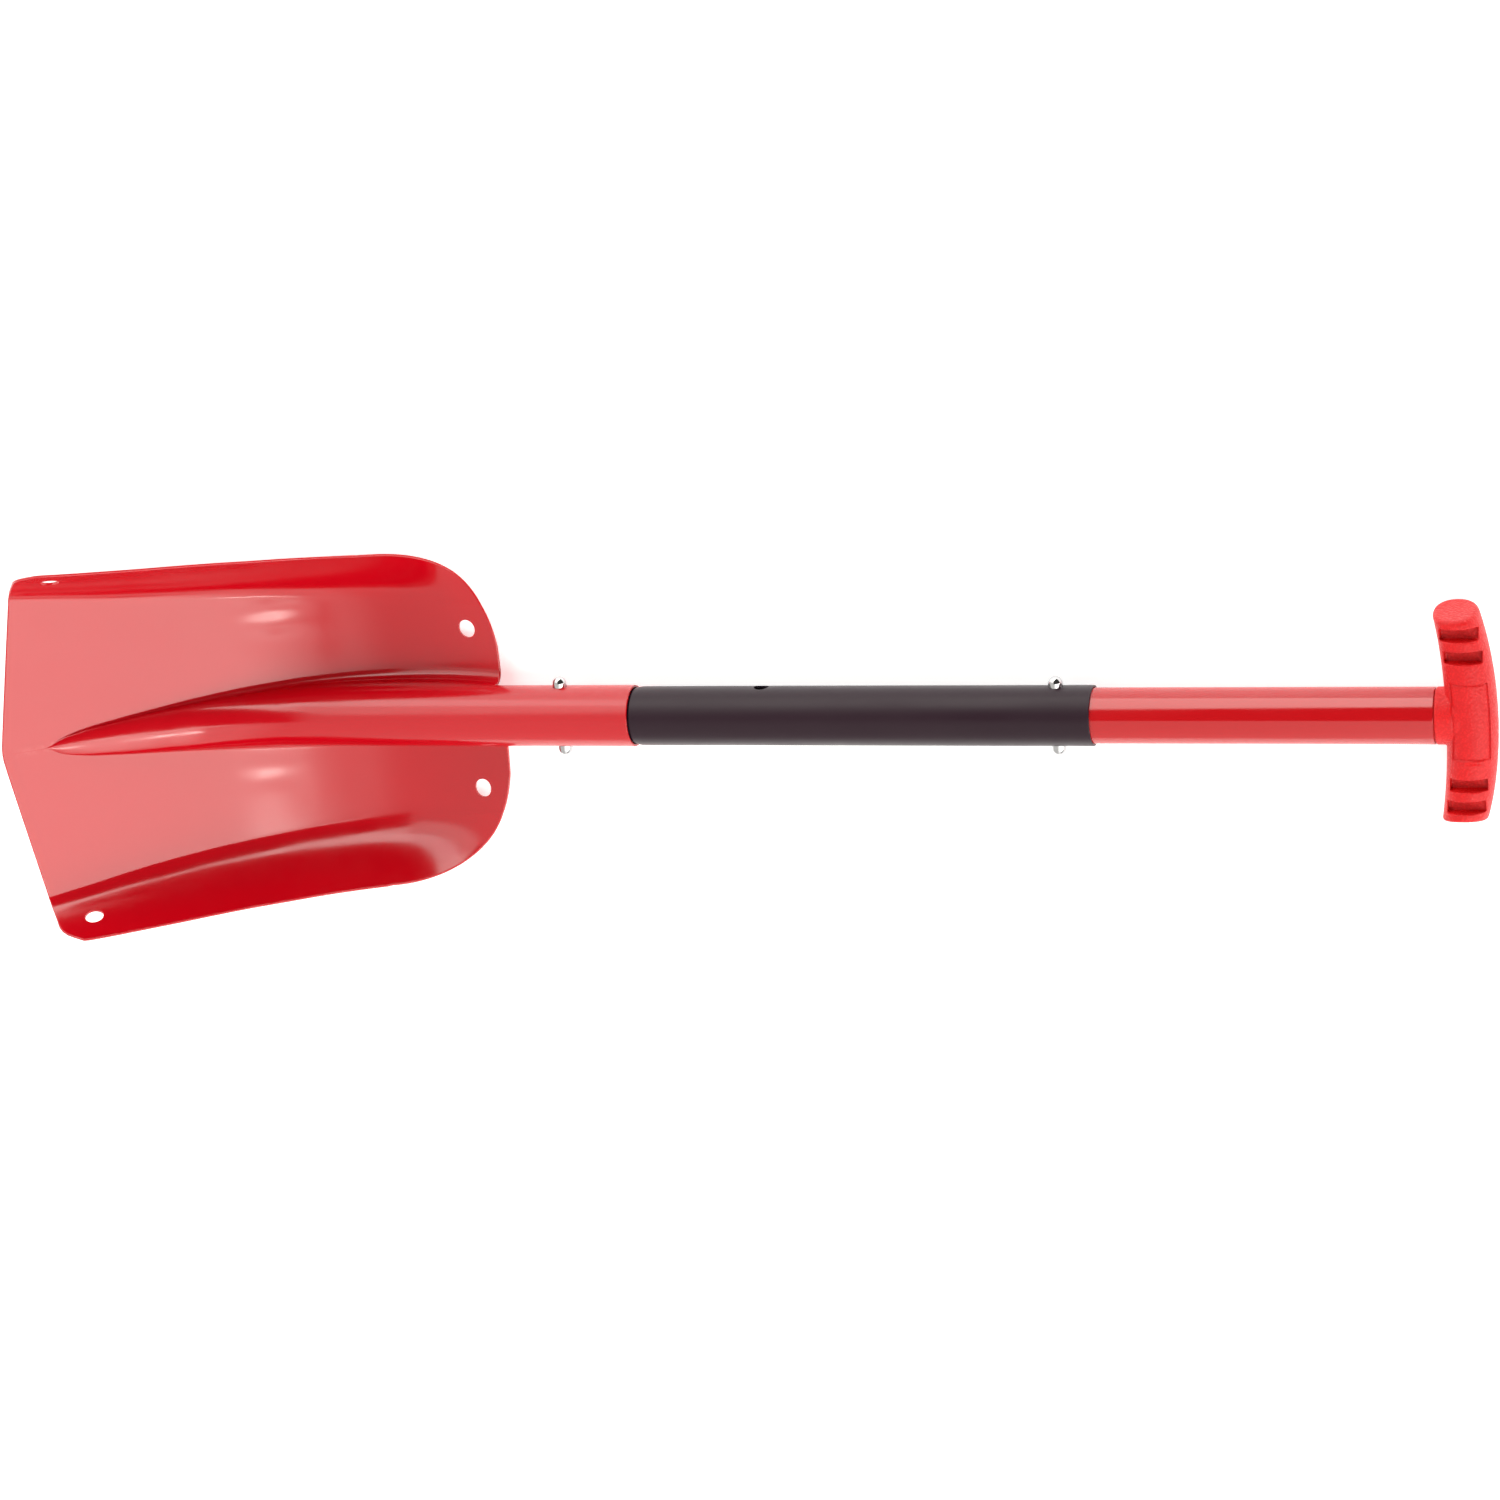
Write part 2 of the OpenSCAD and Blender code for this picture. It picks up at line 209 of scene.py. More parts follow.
def grain_plastic():
    """Moulded plastic with a fine leather grain, as the red grip has, with painted shade in the grain's grooves and in
    hollows, and a painted highlight on convex edges.
    """
    m = bpy.data.materials.new("red_grained_plastic")
    m.use_nodes = True
    m.node_tree.nodes.clear()
    g = Graph(m.node_tree)
    coord = g.add("ShaderNodeTexCoord").outputs["Object"]
    warp = g.noise(coord, 500, 1.0)
    cells = g.add("ShaderNodeTexVoronoi", feature="SMOOTH_F1")
    cells.inputs["Scale"].default_value = 820
    cells.inputs["Smoothness"].default_value = 0.6
    g.link(coord, cells.inputs["Vector"])
    cell = g.math("ADD", cells.outputs["Distance"], g.math("MULTIPLY", warp, 0.5))
    cloud = g.noise(coord, 35, 3.0, 0.6)
    colour = g.mix(g.ramp(cloud, 0.3, 0.7), (0.74, 0.0085, 0.0100), (0.66, 0.0060, 0.0080))
    # painted shade: the grain's grooves, where the bump sinks, are mixed towards a darker red
    colour = g.mix(g.ramp(cell, 0.45, 0.85, 0.0, 0.45), colour, (0.50, 0.002, 0.004))
    point = g.add("ShaderNodeNewGeometry").outputs["Pointiness"]
    # painted highlight: convex edges and rims of the grip are mixed towards a pale pink
    colour = g.mix(g.ramp(point, 0.53, 0.62, 0.0, 0.35), colour, (0.90, 0.09, 0.085))
    # painted shade: hollows, pocket corners and the plaque's recess edge are mixed towards a dark red
    colour = g.mix(g.ramp(point, 0.47, 0.38, 0.0, 0.55), colour, (0.30, 0.0, 0.006))
    out = g.add("ShaderNodeOutputMaterial")
    p = g.add("ShaderNodeBsdfPrincipled")
    g.link(colour, p.inputs["Base Color"])
    g.link(g.ramp(cell, 0.3, 0.9, 0.36, 0.52), p.inputs["Roughness"])
    p.inputs["Specular IOR Level"].default_value = 0.34
    b = g.add("ShaderNodeBump")
    b.inputs["Strength"].default_value = 0.8
    b.inputs["Distance"].default_value = 0.00026
    b.invert = True
    g.link(cell, b.inputs["Height"])
    g.link(b.outputs[0], p.inputs["Normal"])
    g.link(p.outputs[0], out.inputs["Surface"])
    return m


m_grip = grain_plastic()


def floor_material():
    m = bpy.data.materials.new("white_floor")
    m.use_nodes = True
    m.node_tree.nodes.clear()
    g = Graph(m.node_tree)
    coord = g.add("ShaderNodeTexCoord").outputs["Object"]
    out = g.add("ShaderNodeOutputMaterial")
    p = g.add("ShaderNodeBsdfPrincipled")
    g.link(g.mix(g.ramp(g.noise(coord, 3.0, 2.0), 0.3, 0.7), (0.94, 0.94, 0.94), (0.95, 0.95, 0.95)),
           p.inputs["Base Color"])
    p.inputs["Roughness"].default_value = 0.9
    p.inputs["Specular IOR Level"].default_value = 0.0
    p.inputs["Emission Color"].default_value = (1, 1, 1, 1)
    p.inputs["Emission Strength"].default_value = 0.6        # a lit table
    g.link(p.outputs[0], out.inputs["Surface"])
    return m


# ------------------------------------------------------------- mesh helpers
def mesh_object(name, verts_mm, faces, mat):
    me = bpy.data.meshes.new(name)
    me.from_pydata([tuple(v) for v in (np.asarray(verts_mm, float) * MM)], [], faces)
    bm = bmesh.new()
    bm.from_mesh(me)
    bmesh.ops.remove_doubles(bm, verts=bm.verts, dist=1e-7)
    bmesh.ops.recalc_face_normals(bm, faces=bm.faces)
    bm.to_mesh(me)
    bm.free()
    me.materials.append(mat)
    ob = bpy.data.objects.new(name, me)
    scene.collection.objects.link(ob)
    return ob


def drop(ob):
    me = ob.data
    bpy.data.objects.remove(ob)
    bpy.data.meshes.remove(me)


def bake(ob):
    """Applies all modifiers of ob to its mesh."""
    dg = bpy.context.evaluated_depsgraph_get()
    dg.update()
    me = bpy.data.meshes.new_from_object(ob.evaluated_get(dg))
    old = ob.data
    ob.modifiers.clear()
    ob.data = me
    bpy.data.meshes.remove(old)
    return ob


def boolean(ob, others, op="DIFFERENCE"):
    for o in others:
        md = ob.modifiers.new("bool", "BOOLEAN")
        md.operation = op
        md.solver = "EXACT"
        md.object = o
    bake(ob)
    for o in others:
        drop(o)
    return ob


def rod(centre, direction, r, half, seg=64):
    """A plain cylinder in mm, used to cut holes."""
    d = Vector(direction).normalized()
    q = d.to_track_quat("Z", "Y").to_matrix()
    vs, c = [], Vector(centre)
    for s in (-half, half):
        for k in range(seg):
            a = 2 * math.pi * k / seg
            vs.append(c + q @ Vector((r * math.cos(a), r * math.sin(a), s)))
    fs = [(k, (k + 1) % seg, seg + (k + 1) % seg, seg + k) for k in range(seg)]
    fs += [tuple(range(seg))[::-1], tuple(range(seg, 2 * seg))]
    return mesh_object("cutter", vs, fs, m_steel)


def block(lo, hi):
    vs = [(x, y, z) for x in (lo[0], hi[0]) for y in (lo[1], hi[1]) for z in (lo[2], hi[2])]
    fs = [(0, 1, 3, 2), (4, 6, 7, 5), (0, 4, 5, 1), (2, 3, 7, 6), (0, 2, 6, 4), (1, 5, 7, 3)]
    return mesh_object("cutter", vs, fs, m_steel)


def lathe(name, profile, mat, seg=192, gap=0.0, axis="x", centre=(0, 0, 0)):
    """A closed [station, radius] outline in mm turned about the axis. gap is half the angle, in
    degrees, left open underneath."""
    n = len(profile)
    steps = seg + 1 if gap else seg
    vs = []
    for k in range(steps):
        a = math.radians(-90 + gap + (360 - 2 * gap) * k / seg) if gap else 2 * math.pi * k / seg
        for s, r in profile:
            if axis == "x":
                p = (s, r * math.cos(a), r * math.sin(a))
            else:
                p = (r * math.cos(a), s, r * math.sin(a))
            vs.append((p[0] + centre[0], p[1] + centre[1], p[2] + centre[2]))
    fs = []
    for k in range(seg):
        a, b = k * n, ((k + 1) % steps) * n
        for i in range(n):
            j = (i + 1) % n
            fs.append((a + i, a + j, b + j, b + i))
    if gap:
        fs += [tuple(range(n)), tuple(range(seg * n, seg * n + n))[::-1]]
    return mesh_object(name, vs, fs, mat)


def normals(ob, fn, sharp=32):
    """Smooth shading with edges sharper than the angle kept, and fn's normals where it gives one."""
    me = ob.data
    me.polygons.foreach_set("use_smooth", np.ones(len(me.polygons), bool))
    me.set_sharp_from_angle(angle=math.radians(sharp))
    nl = len(me.loops)
    vi = np.empty(nl, np.int32)
    me.loops.foreach_get("vertex_index", vi)
    co = np.empty(len(me.vertices) * 3)
    me.vertices.foreach_get("co", co)
    co = co.reshape(-1, 3)[vi] / MM
    cn = np.empty(nl * 3)
    me.corner_normals.foreach_get("vector", cn)
    cn = cn.reshape(-1, 3)
    fn_all = np.empty(len(me.polygons) * 3)
    me.polygons.foreach_get("normal", fn_all)
    tot = np.empty(len(me.polygons), np.int32)
    me.polygons.foreach_get("loop_total", tot)
    fnrm = np.repeat(fn_all.reshape(-1, 3), tot, axis=0)
    want = fn(co, fnrm)
    good = np.isfinite(want).all(1)
    cn[good] = want[good]
    me.normals_split_custom_set(cn.tolist())
    me.update()


def radial_normals(ob, sharp=32, limit=0.93):
    """Exact round shading on a turned tube along X."""
    def fn(co, fnrm):
        r = co.copy()
        r[:, 0] = 0
        r /= np.maximum(np.linalg.norm(r, axis=1, keepdims=True), 1e-9)
        d = (r * fnrm).sum(1)
        want = np.full_like(co, np.nan)
        want[d > limit] = r[d > limit]
        want[d < -limit] = -r[d < -limit]
        return want
    normals(ob, fn, sharp)


def densify(profile, step=4.0):
    """Adds points along the long straight runs of a closed outline."""
    out = []
    n = len(profile)
    for i in range(n):
        (a, r0), (b, r1) = profile[i], profile[(i + 1) % n]
        k = max(1, int(math.hypot(b - a, r1 - r0) / step))
        out += [(a + (b - a) * j / k, r0 + (r1 - r0) * j / k) for j in range(k)]
    return out


def round_end(x, r_in, r_out, way, e=0.45):
    """Points that round a tube's end face between its outer and inner radius."""
    pts = []
    for k in range(5):
        a = math.pi / 2 * k / 4
        pts.append((x - way * e * (1 - math.sin(a)), r_out - e * (1 - math.cos(a))))
    for k in range(5):
        a = math.pi / 2 * k / 4
        pts.append((x - way * e * (1 - math.cos(a)), r_in + e * (1 - math.sin(a))))
    return pts


# ------------------------------------------------- sizes, from the CAD boxes
def box_mm(node):
    lo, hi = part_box(node)
    return np.array(lo) / MM, np.array(hi) / MM


blade_lo, blade_hi = box_mm("blade")
mid_lo, mid_hi = box_mm("middle_tube")
han_lo, han_hi = box_mm("handle_tube")
grip_lo, grip_hi = box_mm("t_grip")
lb_lo, lb_hi = box_mm("lower_button_left")
ub_lo, ub_hi = box_mm("upper_button_left")
T = 1.5                                  # sheet thickness
tip_x = -474.4
rear_x = -210.0
rim_x = blade_hi[0]                      # socket rim
SOCKET_R = 17.0
MID_R = mid_hi[1]
HAN_R = han_hi[1]
low_x = (lb_lo[0] + lb_hi[0]) / 2        # lower snap buttons
up_x = (ub_lo[0] + ub_hi[0]) / 2         # upper snap buttons
BTN_R = (lb_hi[0] - lb_lo[0]) / 2


# ------------------------------------------------------------------- blade
def lut(x, table):
    xs, ys = zip(*table)
    return np.interp(x, xs, ys)


def smooth_lut(x, table):
    """lut with its corners rounded over a few millimetres."""
    return sum(lut(x + d, table) for d in (-7, -4.5, -2, 0, 2, 4.5, 7)) / 7


def near_lut(x, table):
    return sum(lut(x + d, table) for d in (-2.4, -1.2, 0, 1.2, 2.4)) / 5


def smoothstep(u):
    u = np.clip(u, 0, 1)
    return u * u * (3 - 2 * u)


HEEL_X, LIP_X, FLOOR_Z, TIP_Z = -256.0, -407.8, -19.95, 82.25
SLOPE = (TIP_Z - FLOOR_Z) / ((HEEL_X - LIP_X) / 2 + (LIP_X - tip_x))


def floor_at(x):
    heel = FLOOR_Z + 0.0035 * (x - HEEL_X) ** 2
    bowl = FLOOR_Z + SLOPE / (HEEL_X - LIP_X) / 2 * (x - HEEL_X) ** 2
    lip = FLOOR_Z + SLOPE * (HEEL_X - LIP_X) / 2 + SLOPE * (LIP_X - x)
    return np.where(x > HEEL_X, heel, np.where(x > LIP_X, bowl, lip))


def foot_y(x):
    return smooth_lut(x, [(-490, 92.5), (-474, 89.5), (-452, 86.6), (-437.6, 83.9), (-422.7, 81.1), (-408, 78.9),
                          (-393, 77.3), (-378, 75.9), (-348, 73), (-333, 71.6), (-211, 71)])


def wall_m(x):
    return smooth_lut(x, [(-474, 1.95), (-437, 1.96), (-385, 1.99), (-363, 1.87), (-348, 1.77), (-318, 1.62),
                          (-288, 1.48), (-273, 1.37), (-258, 1.12), (-243, 0.84), (-229, 0.35), (-211, 0.1)])


def knee_y(x):
    return smooth_lut(x, [(-490, 90.2), (-474, 87.8), (-463, 85.8), (-440, 81.8), (-425, 78.8), (-409, 76.2),
                          (-382, 72.8), (-355, 70.2), (-329, 67.7), (-301, 65.9), (-274, 64.4), (-243, 62), (-205, 60)])


def crown(x):
    return smooth_lut(x, [(-474, 0.2), (-440, 0.4), (-340, 0.4), (-270, 0), (-230, -4), (-205, -4)])


def side_y(x):
    return 95.7 + 9.1 * np.clip((-270 - x) / 160, 0, 1) ** 1.2


def skin(x, y):
    y = np.abs(y)
    f = knee_y(x)
    soft = 0.5 + 3.5 * smoothstep((x + 350) / 110)
    u = (y - f) / soft
    sp = soft * np.where(u > 30, u, np.log1p(np.exp(np.minimum(u, 30))))
    rise, reach = wall_m(x) * (side_y(x) - foot_y(x)), side_y(x) - f
    first = np.minimum(0.20, 0.5 * rise / reach)
    curve = (rise - first * reach) / reach ** 2
    return floor_at(x) - crown(x) * (np.minimum(y, f) / f) ** 2 + first * sp + curve * sp ** 2


RIB_END = 24.4


def edge_y(x):
    u = np.clip((x + 278) / (rear_x + 278), 0, 1)
    back = RIB_END + (95.7 - RIB_END) * np.maximum(0, 1 - u ** 2.4) ** 0.47
    return np.where(x < -278, side_y(x), back) - T / 2


def rib_base(x):
    return near_lut(x, [(-453, 0.12), (-451, 1.2), (-449, 3.6), (-446, 5.4), (-439, 7.7), (-432.7, 9.2), (-417.8, 11.5),
                          (-402.8, 13.5), (-388, 15.5), (-373, 17.3), (-358, 18.8), (-343, 20.0), (-328, 21.1),
                          (-313, 21.9), (-298, 22.4), (-283, 22.7), (-253, 23.1), (-210, 23.1)])


def rib_w(x):
    return near_lut(x, [(-453, 0.06), (-451, 1.0), (-449, 2.8), (-446, 4.2), (-439, 6.0), (-433, 7.1), (-418, 9.0), (-403, 10.8),
                          (-388, 12.2), (-373, 13.4), (-358, 14.4), (-343, 15.3), (-328, 16.0), (-313, 16.2),
                          (-298, 16.3), (-205, 16.3)])


def fillet(x):
    return np.maximum(rib_base(x) - rib_w(x), 0.05)


def rib_h(x, z0):
    level = 16.3 + 0.00222 * np.minimum(x + 304, 0) ** 2 - z0
    front = near_lut(x, [(-453, 0.0), (-451, 0.3), (-449, 1.2), (-446, 2.1), (-439, 3.6), (-433, 4.6), (-418, 6.5), (-403, 9.2),
                           (-388, 12.2), (-373, 15.6)])
    t = smoothstep((x + 395) / 20)
    return np.maximum(0.02, front * (1 - t) + level * t)


N_ARC, N_WALL, N_FIL, N_SKIN = 26, 3, 12, 60
cols = [("arc", k / (N_ARC - 1)) for k in range(N_ARC)]
cols += [("wall", (k + 1) / N_WALL) for k in range(N_WALL)]
cols += [("fil", (k + 1) / N_FIL) for k in range(N_FIL)]
cols += [("skin", (k + 1) / N_SKIN) for k in range(N_SKIN)]
kind = np.array([c[0] for c in cols])
tpar = np.array([c[1] for c in cols])


def section(x):
    """x is rows by columns; gives y and z of the half section's points."""
    f = fillet(x)
    w = rib_base(x) - f
    z0 = skin(x, w + f)
    h = rib_h(x, z0)
    r = np.minimum(f, 0.34 * h)
    q = np.minimum(0.9 * (h - r), 16.3)
    t = np.broadcast_to(tpar, x.shape)
    a = math.pi / 2 * (1 - t)
    k = np.broadcast_to(kind, x.shape)
    y = np.zeros_like(x)
    z = np.zeros_like(x)
    m = k == "arc"
    y[m] = (w * np.cos(a))[m]
    z[m] = (z0 + h - q + q * np.sin(a))[m]
    m = k == "wall"
    y[m] = w[m]
    z[m] = (z0 + h - q + (r - (h - q)) * t)[m]
    b = math.pi / 2 * t
    m = k == "fil"
    y[m] = (w + f * (1 - np.cos(b)))[m]
    z[m] = (z0 + r * (1 - np.sin(b)))[m]
    y0, y1 = w + f, np.maximum(edge_y(x), w + f + 0.3)
    fc = np.minimum(knee_y(x) + 2, y1 + (y0 - y1) * 0.2)
    lo = fc - np.minimum(7, 0.25 * (fc - y0))
    hi = fc + np.minimum(7, 0.6 * (y1 - fc))
    kk = t * 10
    ys = np.where(kk <= 4, y0 + (lo - y0) * kk / 4,
                  np.where(kk <= 8, lo + (hi - lo) * (kk - 4) / 4, hi + (y1 - hi) * (kk - 8) / 2))
    m = k == "skin"
    y[m] = ys[m]
    z[m] = skin(x, ys)[m]
    return y, z


def sweep_y(y):
    s = 0.145 * (np.sqrt(np.minimum(y, 88) ** 2 + 14) - math.sqrt(14))
    return s + 13.5 * (np.maximum(y - 86, 0) / 15) ** 1.7 + 10 * (np.maximum(y - 98, 0) / 6) ** 2.6


front = tip_x + T / 2 + 95 * np.linspace(0, 1, 62) ** 1.1
middle = np.linspace(front[-1], -278, 42)[1:]
u = np.linspace(0, 1, 46)[1:]
tail = -278 + (rear_x - T / 2 + 278) * np.sin(math.pi / 2 * u)
rows = np.concatenate([front, middle, tail])
NR, NC = len(rows), len(cols)
X0 = np.repeat(rows[:, None], NC, axis=1)
Y0, _ = section(X0)
bend = (1 - np.clip((X0 - tip_x) / 95, 0, 1)) ** 1.5
X = X0 + sweep_y(Y0) * bend
Y, Z = section(X)

# full width: mirrored half, centre line once
P = np.concatenate([np.stack([X, -Y, Z], -1)[:, :0:-1], np.stack([X, Y, Z], -1)], axis=1)
P[:, NC - 1, 1] = 0
NF = P.shape[1]
di = np.gradient(P, axis=0)
dj = np.gradient(P, axis=1)
N = np.cross(di, dj)
N /= np.maximum(np.linalg.norm(N, axis=2, keepdims=True), 1e-12)
N *= np.sign(N[..., 2:3].mean()) if N[..., 2].mean() < 0 else 1


def ripple(x, y):
    """Two slight ripples in the pressed floor, one on each side of the rib, a third of a millimetre high."""
    z = 0
    for x0, y0, steep, long, wide in ((-340, 57.5, 0.105, 17, 7.5), (-354, -33, 0.044, 14, 6.5)):
        z = z + steep * (y - y0) * np.exp(-((x - x0) / long) ** 2 - ((y - y0) / wide) ** 2)
    return z


def skin_normal(x, y):
    e = 0.05

    def z(x, y):
        return skin(x, y) + ripple(x, y)

    n = np.stack([-(z(x + e, y) - z(x - e, y)) / (2 * e), -(z(x, y + e) - z(x, y - e)) / (2 * e),
                  np.ones_like(x)], -1)
    return n / np.linalg.norm(n, axis=-1, keepdims=True)


is_skin = np.zeros(NF, bool)
half_skin = kind == "skin"
is_skin[NC - 1:] = half_skin
is_skin[:NC] |= half_skin[::-1]
SN = skin_normal(P[..., 0], P[..., 1])
P[:, is_skin, 2] += ripple(P[..., 0], P[..., 1])[:, is_skin]
N[:, is_skin] = SN[:, is_skin]

top = P + N * T / 2
bot = P - N * T / 2
verts = [*top.reshape(-1, 3), *bot.reshape(-1, 3)]
vnorm = [*N.reshape(-1, 3), *(-N).reshape(-1, 3)]
half_count = NR * NF


def vid(s, i, j):
    return s * half_count + i * NF + j


faces = []
for i in range(NR - 1):
    for j in range(NF - 1):
        faces.append((vid(0, i, j), vid(0, i + 1, j), vid(0, i + 1, j + 1), vid(0, i, j + 1)))
        faces.append((vid(1, i, j), vid(1, i, j + 1), vid(1, i + 1, j + 1), vid(1, i + 1, j)))
loop = [(0, j) for j in range(NF)] + [(i, NF - 1) for i in range(1, NR)]
loop += [(NR - 1, j) for j in range(NF - 2, -1, -1)] + [(i, 0) for i in range(NR - 2, 0, -1)]
nloop = len(loop)
pts = np.array([P[i, j] for i, j in loop])
nrm = np.array([N[i, j] for i, j in loop])
tangent = np.roll(pts, -1, axis=0) - np.roll(pts, 1, axis=0)
outward = np.cross(tangent, nrm)
outward /= np.maximum(np.linalg.norm(outward, axis=1, keepdims=True), 1e-12)
centre = P.reshape(-1, 3).mean(0)
if ((pts - centre) * outward).sum() < 0:
    outward = -outward
RIM = 5
base = len(verts)
for k in range(1, RIM):
    a = math.pi * k / RIM
    d = nrm * math.cos(a) + outward * math.sin(a)
    verts += list(pts + d * T / 2)
    vnorm += list(d)
for k in range(RIM):
    for l in range(nloop):
        m2 = (l + 1) % nloop

        def ring(kk, ll):
            if kk == 0:
                return vid(0, *loop[ll])
            if kk == RIM:
                return vid(1, *loop[ll])
            return base + (kk - 1) * nloop + ll
        faces.append((ring(k, l), ring(k, m2), ring(k + 1, m2), ring(k + 1, l)))
sheet = mesh_object("blade_sheet", verts, faces, m_blade)

FRONT_HOLE, REAR_HOLE, HOLE_R = (-435.1, 97.0), (-228.7, 46.3), 5.1
cutters = []
for s in (-1, 1):
    c = (FRONT_HOLE[0], s * FRONT_HOLE[1], float(skin(np.array(FRONT_HOLE[0]), np.array(FRONT_HOLE[1]))))
    cutters.append(rod(c, (0.158, -0.878 * s, 0.452), HOLE_R, 7, 72))
    c = (REAR_HOLE[0], s * REAR_HOLE[1], float(skin(np.array(REAR_HOLE[0]), np.array(REAR_HOLE[1]))))
    cutters.append(rod(c, (0, 0, 1), HOLE_R, 8, 72))
boolean(sheet, cutters)

tree = KDTree(len(verts))
for k, v in enumerate(verts):
    tree.insert(Vector(v), k)
tree.balance()
vnorm = np.array(vnorm)


def sheet_normals(co, fnrm):
    want = np.full_like(co, np.nan)
    seen = {}
    for k in range(len(co)):
        key = (round(co[k][0], 3), round(co[k][1], 3), round(co[k][2], 3))
        if key not in seen:
            _, idx, dist = tree.find(Vector(co[k]))
            if dist < 0.004:
                seen[key] = vnorm[idx]
            else:
                n = skin_normal(co[k, 0], co[k, 1])
                for _ in range(2):
                    side = 1 if (n * fnrm[k]).sum() > 0 else -1
                    n = skin_normal(co[k, 0] - side * n[0] * T / 2, co[k, 1] - side * n[1] * T / 2)
                seen[key] = (n,)
        v = seen[key]
        if isinstance(v, tuple):
            d = (v[0] * fnrm[k]).sum()
            if abs(d) > 0.75:
                want[k] = v[0] * np.sign(d)
        elif (v * fnrm[k]).sum() > 0.2:
            want[k] = v
    return want


normals(sheet, sheet_normals, 40)
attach(sheet, "blade")
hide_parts("blade")

# rolled socket: a tube with an open seam underneath
sock = round_end(rim_x, 15.5, SOCKET_R, 1)
sock = sock + [(rear_x - 7, 15.5), (rear_x - 7, SOCKET_R)]
socket = lathe("rolled_socket", densify(sock), m_blade, seg=224, gap=math.degrees(math.asin(0.5 / SOCKET_R)))
boolean(socket, [rod((low_x, 0, 0), (0, 1, 0), BTN_R + 0.15, 24, 64)])
radial_normals(socket)
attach(socket, "blade")

# ------------------------------------------------------------- middle tube
neck_r, neck_in, mid_in = 15.44, 14.24, HAN_R + 0.05
x0, x1 = mid_lo[0], mid_hi[0]
shoulder = [(rim_x + 6.4 - 6.4 * math.cos(a), 14.75 + (MID_R - 14.75) * math.sin(a) ** 0.9)
            for a in np.linspace(0, math.pi / 2, 14)]
prof = [(x0, neck_in), (x0, neck_r - 0.5), (x0 + 1, neck_r), (rim_x - 4.5, neck_r), (rim_x - 3, 14.75)]
prof += [(a + 0.2, b) for a, b in shoulder]
prof += round_end(x1, mid_in, MID_R, 1, 0.4)
prof += [(rim_x + 9, mid_in), (rim_x + 2, 13.34), (rim_x - 6, 13.34), (rim_x - 8, neck_in)]
middle_tube = lathe("middle_tube_shell", densify(prof), m_black, seg=192)
travel = -[j for j in frame["joints"] if j["name"] == "telescope"][0]["range_m"][0] / MM
boolean(middle_tube, [rod((low_x, 0, 0), (0, 1, 0), BTN_R + 0.08, 24, 64),
                      rod((up_x, 0, 0), (0, 1, 0), BTN_R + 0.15, 24, 64),
                      rod((up_x - travel, 0, 0), (0, 1, 0), BTN_R + 0.15, 24, 64)])
radial_normals(middle_tube)
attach(middle_tube, "middle_shaft")
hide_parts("middle_tube")

# ------------------------------------------------------------- handle tube
prof = round_end(han_hi[0], HAN_R - 1.2, HAN_R, 1, 0.3)
prof += [(a, b) for a, b in reversed(round_end(han_lo[0], HAN_R - 1.2, HAN_R, -1, 0.3))]
handle_tube = lathe("handle_tube_shell", densify(prof), m_tube, seg=192)
boolean(handle_tube, [rod((up_x, 0, 0), (0, 1, 0), BTN_R + 0.08, 24, 64)])
radial_normals(handle_tube)
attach(handle_tube, "handle")
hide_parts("handle_tube")


# ----------------------------------------------------------------- buttons
def snap(name, node, body):
    lo, hi = box_mm(node)
    s = 1 if hi[1] > 0 else -1
    tip, root = (hi[1], lo[1]) if s > 0 else (-lo[1], -hi[1])
    cx, r = (lo[0] + hi[0]) / 2, (hi[0] - lo[0]) / 2
    prof = [(0.0, root), (r * 0.6, root), (r - 0.25, root), (r - 0.02, root + 0.25)]
    prof += [(r - 0.02, root + 0.25 + (tip - r - root - 0.25) * k / 5) for k in range(1, 6)]
    prof += [((r - 0.02) * math.cos(a), tip - r + (r - 0.02) * math.sin(a)) for a in np.linspace(0.08, math.pi / 2, 20)]
    seg, vs, fs = 64, [], []
    for k in range(seg):
        a = 2 * math.pi * k / seg
        vs += [(cx + q * math.cos(a), s * h, q * math.sin(a)) for q, h in prof]
    n = len(prof)
    for k in range(seg):
        a, b = k * n, ((k + 1) % seg) * n
        fs += [(a + i, a + i + 1, b + i + 1, b + i) for i in range(n - 1)]
    ob = mesh_object(name, vs, fs, m_chrome)
    ob.data.polygons.foreach_set("use_smooth", np.ones(len(ob.data.polygons), bool))
    ob.data.set_sharp_from_angle(angle=math.radians(50))
    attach(ob, body)
    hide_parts(node)


snap("lower_snap_left", "lower_button_left", "lower_left_snap")
snap("lower_snap_right", "lower_button_right", "lower_right_snap")
snap("upper_snap_left", "upper_button_left", "upper_left_snap")
snap("upper_snap_right", "upper_button_right", "upper_right_snap")

for n in ("lower_spring_clip", "upper_spring_clip"):
    nodes[n].data.materials.clear()
    nodes[n].data.materials.append(m_steel)
nodes["grip_rivet"].data.materials.clear()
nodes["grip_rivet"].data.materials.append(m_chrome)

# ------------------------------------------------------------------ T-grip
GRIP_X, GA, GB = 325.3, 13.1, grip_hi[2] - 0.05
GH = 59.1


def bar_x(y):
    return GRIP_X - 4.4 * (y / 50) ** 2 - 0.8 * y / 50


def bar_a(y):
    return GA - 1.1 * (y / 50) ** 2


